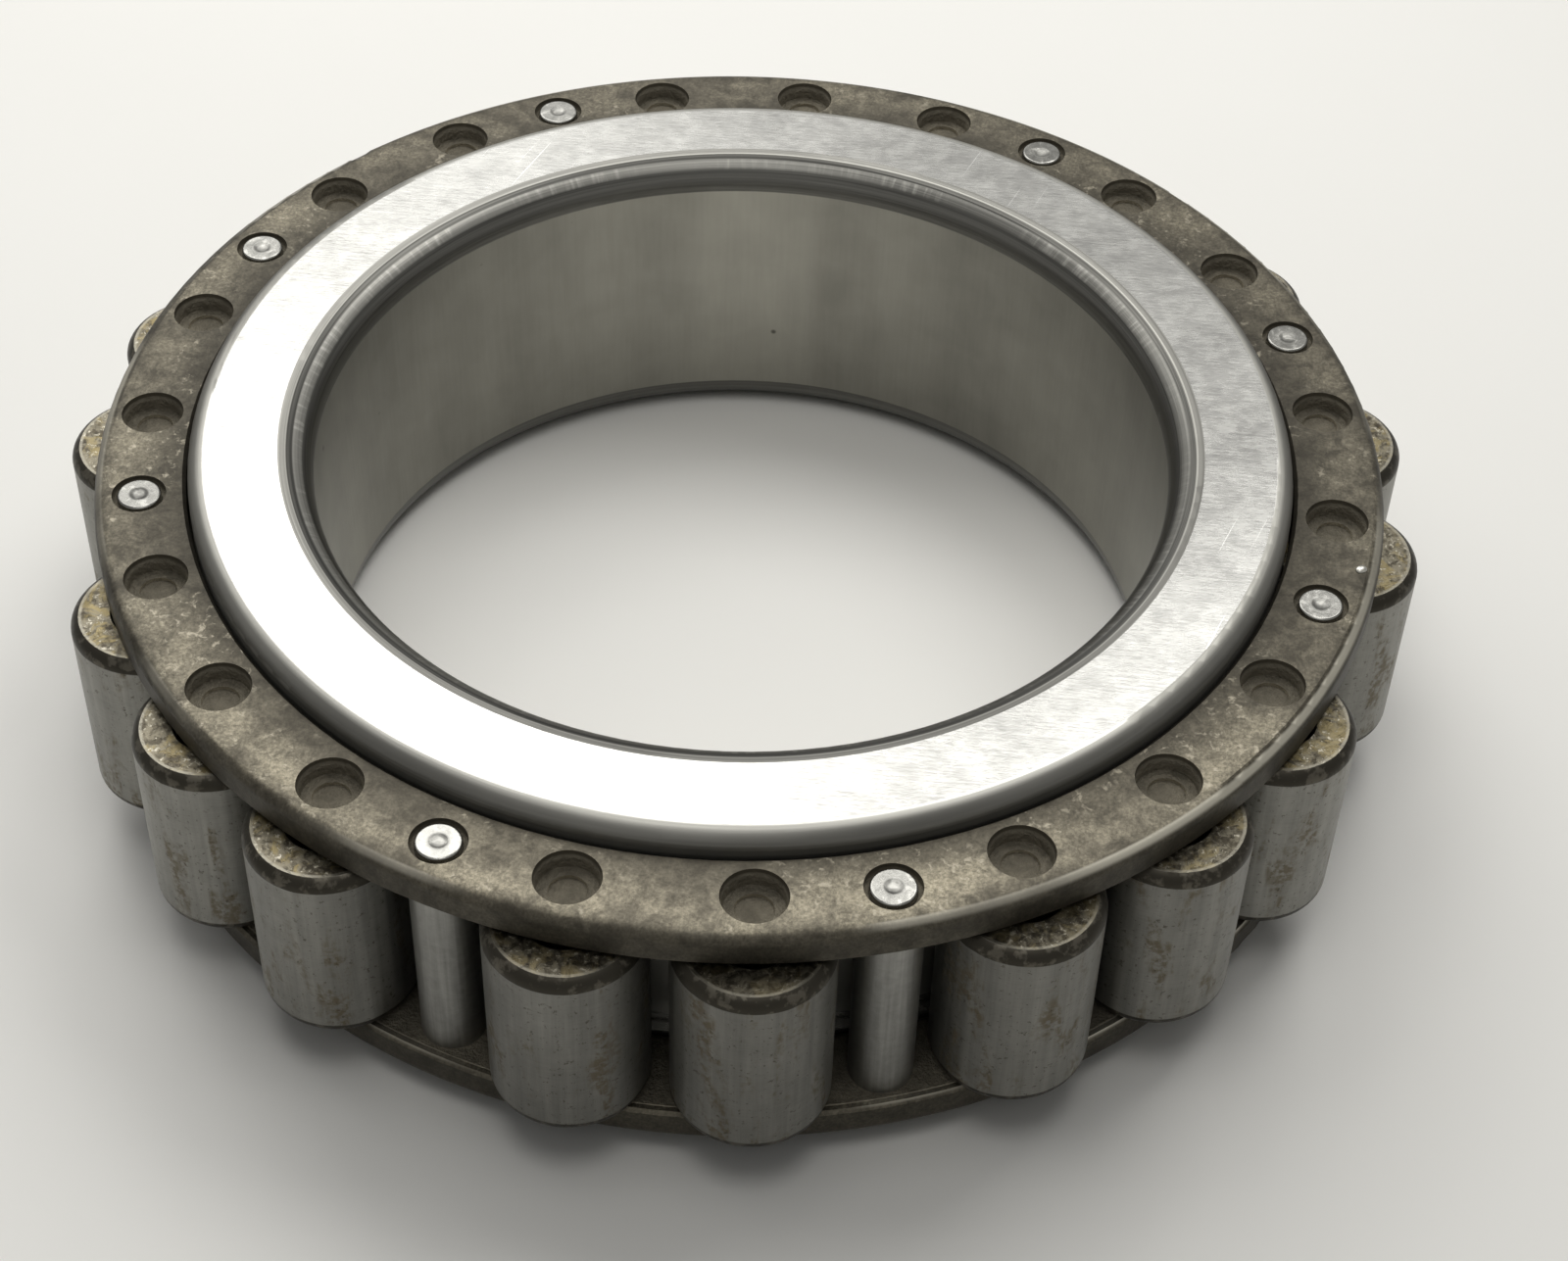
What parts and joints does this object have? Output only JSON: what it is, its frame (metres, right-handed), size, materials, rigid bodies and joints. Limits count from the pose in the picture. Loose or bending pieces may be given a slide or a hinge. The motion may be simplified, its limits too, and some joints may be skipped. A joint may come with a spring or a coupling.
{
  "type": "cylindrical roller bearing without outer ring",
  "caption": "Cylindrical roller bearing without its outer ring: inner ring with two guide ribs, straight rollers and a riveted two-plate cage.",
  "frame": {"origin": "centre of the bore, half way along the ring", "axes": "+Z along the bearing's axis; the ring's two faces are square to Z"},
  "size_m": [0.0794, 0.0795, 0.02],
  "materials": {
    "ring_steel": "bright ground steel, with darker turned corners and a smooth bore",
    "cage_steel": "brown-grey mottled steel, rubbed bright at the outer edge",
    "post_steel": "smooth grey steel with bright riveted ends",
    "roller_steel": "satin ground steel with straw-coloured ends"
  },
  "bodies": {
    "inner_ring": {"inner_ring": "ring_steel"},
    "cage": {"cage_plate_top": "cage_steel", "cage_plate_bottom": "cage_steel", "post_1": "post_steel", "post_2": "post_steel", "post_3": "post_steel", "post_4": "post_steel", "post_5": "post_steel", "post_6": "post_steel", "post_7": "post_steel", "post_8": "post_steel"},
    "roller_01": {"roller_01": "roller_steel"},
    "roller_02": {"roller_02": "roller_steel"},
    "roller_03": {"roller_03": "roller_steel"},
    "roller_04": {"roller_04": "roller_steel"},
    "roller_05": {"roller_05": "roller_steel"},
    "roller_06": {"roller_06": "roller_steel"},
    "roller_07": {"roller_07": "roller_steel"},
    "roller_08": {"roller_08": "roller_steel"},
    "roller_09": {"roller_09": "roller_steel"},
    "roller_10": {"roller_10": "roller_steel"},
    "roller_11": {"roller_11": "roller_steel"},
    "roller_12": {"roller_12": "roller_steel"},
    "roller_13": {"roller_13": "roller_steel"},
    "roller_14": {"roller_14": "roller_steel"},
    "roller_15": {"roller_15": "roller_steel"},
    "roller_16": {"roller_16": "roller_steel"},
    "roller_17": {"roller_17": "roller_steel"},
    "roller_18": {"roller_18": "roller_steel"},
    "roller_19": {"roller_19": "roller_steel"}
  },
  "joints": [
    {"name": "cage_spin", "type": "hinge", "parent": "inner_ring", "child": "cage", "pos_m": [0, 0, 0], "axis": [0, 0, 1], "continuous": true},
    {"name": "roller_01_spin", "type": "hinge", "parent": "cage", "child": "roller_01", "pos_m": [-0.00789, -0.03459, 0], "axis": [0, 0, 1], "continuous": true},
    {"name": "roller_02_spin", "type": "hinge", "parent": "cage", "child": "roller_02", "pos_m": [0.00181, -0.03543, 0], "axis": [0, 0, 1], "continuous": true},
    {"name": "roller_03_spin", "type": "hinge", "parent": "cage", "child": "roller_03", "pos_m": [0.01569, -0.03182, 0], "axis": [0, 0, 1], "continuous": true},
    {"name": "roller_04_spin", "type": "hinge", "parent": "cage", "child": "roller_04", "pos_m": [0.02375, -0.02636, 0], "axis": [0, 0, 1], "continuous": true},
    {"name": "roller_05_spin", "type": "hinge", "parent": "cage", "child": "roller_05", "pos_m": [0.03002, -0.01891, 0], "axis": [0, 0, 1], "continuous": true},
    {"name": "roller_06_spin", "type": "hinge", "parent": "cage", "child": "roller_06", "pos_m": [0.03505, -0.00549, 0], "axis": [0, 0, 1], "continuous": true},
    {"name": "roller_07_spin", "type": "hinge", "parent": "cage", "child": "roller_07", "pos_m": [0.03523, 0.00425, 0], "axis": [0, 0, 1], "continuous": true},
    {"name": "roller_08_spin", "type": "hinge", "parent": "cage", "child": "roller_08", "pos_m": [0.03067, 0.01784, 0], "axis": [0, 0, 1], "continuous": true},
    {"name": "roller_09_spin", "type": "hinge", "parent": "cage", "child": "roller_09", "pos_m": [0.02467, 0.0255, 0], "axis": [0, 0, 1], "continuous": true},
    {"name": "roller_10_spin", "type": "hinge", "parent": "cage", "child": "roller_10", "pos_m": [0.01256, 0.03318, 0], "axis": [0, 0, 1], "continuous": true},
    {"name": "roller_11_spin", "type": "hinge", "parent": "cage", "child": "roller_11", "pos_m": [0.00307, 0.03535, 0], "axis": [0, 0, 1], "continuous": true},
    {"name": "roller_12_spin", "type": "hinge", "parent": "cage", "child": "roller_12", "pos_m": [-0.00666, 0.03485, 0], "axis": [0, 0, 1], "continuous": true},
    {"name": "roller_13_spin", "type": "hinge", "parent": "cage", "child": "roller_13", "pos_m": [-0.01991, 0.02937, 0], "axis": [0, 0, 1], "continuous": true},
    {"name": "roller_14_spin", "type": "hinge", "parent": "cage", "child": "roller_14", "pos_m": [-0.02714, 0.02285, 0], "axis": [0, 0, 1], "continuous": true},
    {"name": "roller_15_spin", "type": "hinge", "parent": "cage", "child": "roller_15", "pos_m": [-0.03397, 0.01025, 0], "axis": [0, 0, 1], "continuous": true},
    {"name": "roller_16_spin", "type": "hinge", "parent": "cage", "child": "roller_16", "pos_m": [-0.03547, 0.00063, 0], "axis": [0, 0, 1], "continuous": true},
    {"name": "roller_17_spin", "type": "hinge", "parent": "cage", "child": "roller_17", "pos_m": [-0.03283, -0.01346, 0], "axis": [0, 0, 1], "continuous": true},
    {"name": "roller_18_spin", "type": "hinge", "parent": "cage", "child": "roller_18", "pos_m": [-0.02793, -0.02188, 0], "axis": [0, 0, 1], "continuous": true},
    {"name": "roller_19_spin", "type": "hinge", "parent": "cage", "child": "roller_19", "pos_m": [-0.02093, -0.02865, 0], "axis": [0, 0, 1], "continuous": true}
  ],
  "couplings": [
    {"joint": "roller_01_spin", "follows": "cage_spin", "ratio": 7.1494},
    {"joint": "roller_02_spin", "follows": "cage_spin", "ratio": 7.1494},
    {"joint": "roller_03_spin", "follows": "cage_spin", "ratio": 7.1494},
    {"joint": "roller_04_spin", "follows": "cage_spin", "ratio": 7.1494},
    {"joint": "roller_05_spin", "follows": "cage_spin", "ratio": 7.1494},
    {"joint": "roller_06_spin", "follows": "cage_spin", "ratio": 7.1494},
    {"joint": "roller_07_spin", "follows": "cage_spin", "ratio": 7.1494},
    {"joint": "roller_08_spin", "follows": "cage_spin", "ratio": 7.1494},
    {"joint": "roller_09_spin", "follows": "cage_spin", "ratio": 7.1494},
    {"joint": "roller_10_spin", "follows": "cage_spin", "ratio": 7.1494},
    {"joint": "roller_11_spin", "follows": "cage_spin", "ratio": 7.1494},
    {"joint": "roller_12_spin", "follows": "cage_spin", "ratio": 7.1494},
    {"joint": "roller_13_spin", "follows": "cage_spin", "ratio": 7.1494},
    {"joint": "roller_14_spin", "follows": "cage_spin", "ratio": 7.1494},
    {"joint": "roller_15_spin", "follows": "cage_spin", "ratio": 7.1494},
    {"joint": "roller_16_spin", "follows": "cage_spin", "ratio": 7.1494},
    {"joint": "roller_17_spin", "follows": "cage_spin", "ratio": 7.1494},
    {"joint": "roller_18_spin", "follows": "cage_spin", "ratio": 7.1494},
    {"joint": "roller_19_spin", "follows": "cage_spin", "ratio": 7.1494}
  ]
}
